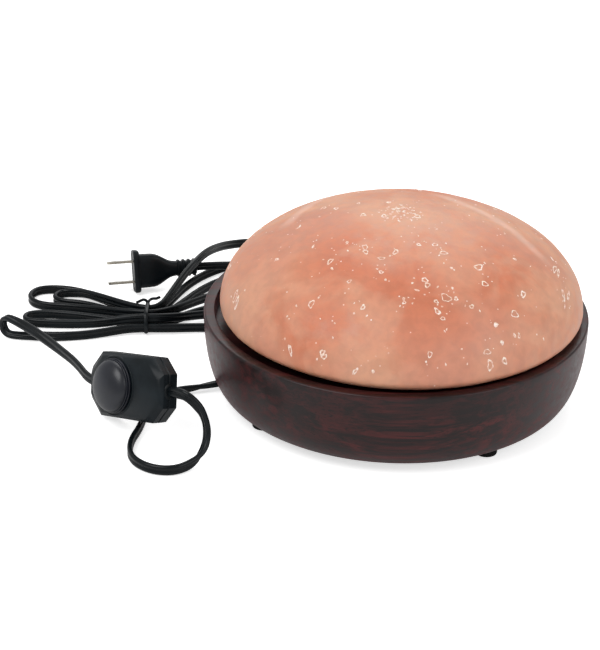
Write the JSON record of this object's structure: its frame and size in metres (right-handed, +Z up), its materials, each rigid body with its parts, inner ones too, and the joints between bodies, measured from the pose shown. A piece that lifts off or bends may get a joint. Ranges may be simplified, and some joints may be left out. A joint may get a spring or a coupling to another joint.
{
  "type": "salt crystal lamp",
  "caption": "Turned rock-salt dome on a dark wooden bowl with a candelabra bulb inside, rotary inline dimmer and tied flat cord with a two-blade plug.",
  "frame": {"origin": "on the floor under the middle of the wooden base", "axes": "+Z up through the dome, -X towards the side where the cord leaves, -Y towards the viewer of the picture"},
  "size_m": [0.346, 0.2889, 0.1095],
  "materials": {
    "salt": "matte",
    "wood": "satin",
    "steel": "satin",
    "foot_rubber": "matte",
    "brass": "satin",
    "nickel": "satin",
    "glass": "gloss",
    "tungsten": "satin",
    "vitrite": "gloss",
    "black_phenolic": "satin",
    "board": "satin",
    "components": "satin",
    "knob_plastic": "satin",
    "black_plastic": "satin",
    "cord_pvc": "satin"
  },
  "bodies": {
    "base": {"cord_clip": "black_plastic", "cord_clip_screws": "steel", "cord_hank": "cord_pvc", "cord_inner_lead": "cord_pvc", "cord_lead": "cord_pvc", "cord_link": "cord_pvc", "cord_tail": "cord_pvc", "cord_tie": "cord_pvc", "dimmer_board": "board", "dimmer_capacitor": "components", "dimmer_choke": "components", "dimmer_front_case": "black_plastic", "dimmer_grommet_far": "black_plastic", "dimmer_grommet_near": "black_plastic", "dimmer_nut": "steel", "dimmer_potentiometer": "nickel", "dimmer_rear_case": "black_plastic", "dimmer_screws": "steel", "dimmer_triac": "components", "foot_front_left": "foot_rubber", "foot_front_right": "foot_rubber", "foot_rear_left": "foot_rubber", "foot_rear_right": "foot_rubber", "foot_screws": "steel", "holder_body": "black_phenolic", "holder_contact": "brass", "holder_plate": "steel", "holder_screw_shell": "brass", "plate_screws": "steel", "plug_blade_lower": "nickel", "plug_blade_upper": "nickel", "plug_body": "black_plastic", "wiring_cap": "black_phenolic", "wood_base": "wood"},
    "salt_dome": {"salt_dome": "salt"},
    "bulb": {"bulb_filament": "tungsten", "bulb_glass": "glass", "bulb_insulator": "vitrite", "bulb_screw_cap": "nickel", "bulb_stem": "glass", "bulb_tip": "nickel"},
    "knob": {"dimmer_knob": "knob_plastic", "dimmer_shaft": "nickel"}
  },
  "joints": [
    {"name": "dome_lift", "type": "slide", "parent": "base", "child": "salt_dome", "axis": [0, 0, 1], "range_m": [0, 0.12]},
    {"name": "bulb_turn", "type": "hinge", "parent": "base", "child": "bulb", "pos_m": [0, 0, 0.03], "axis": [0, 0, 1], "range_deg": [0, 1080]},
    {"name": "knob_turn", "type": "hinge", "parent": "base", "child": "knob", "pos_m": [-0.15233, -0.04786, 0.02393], "axis": [-0.7332, -0.6192, 0.281], "range_deg": [-270, 0]}
  ]
}
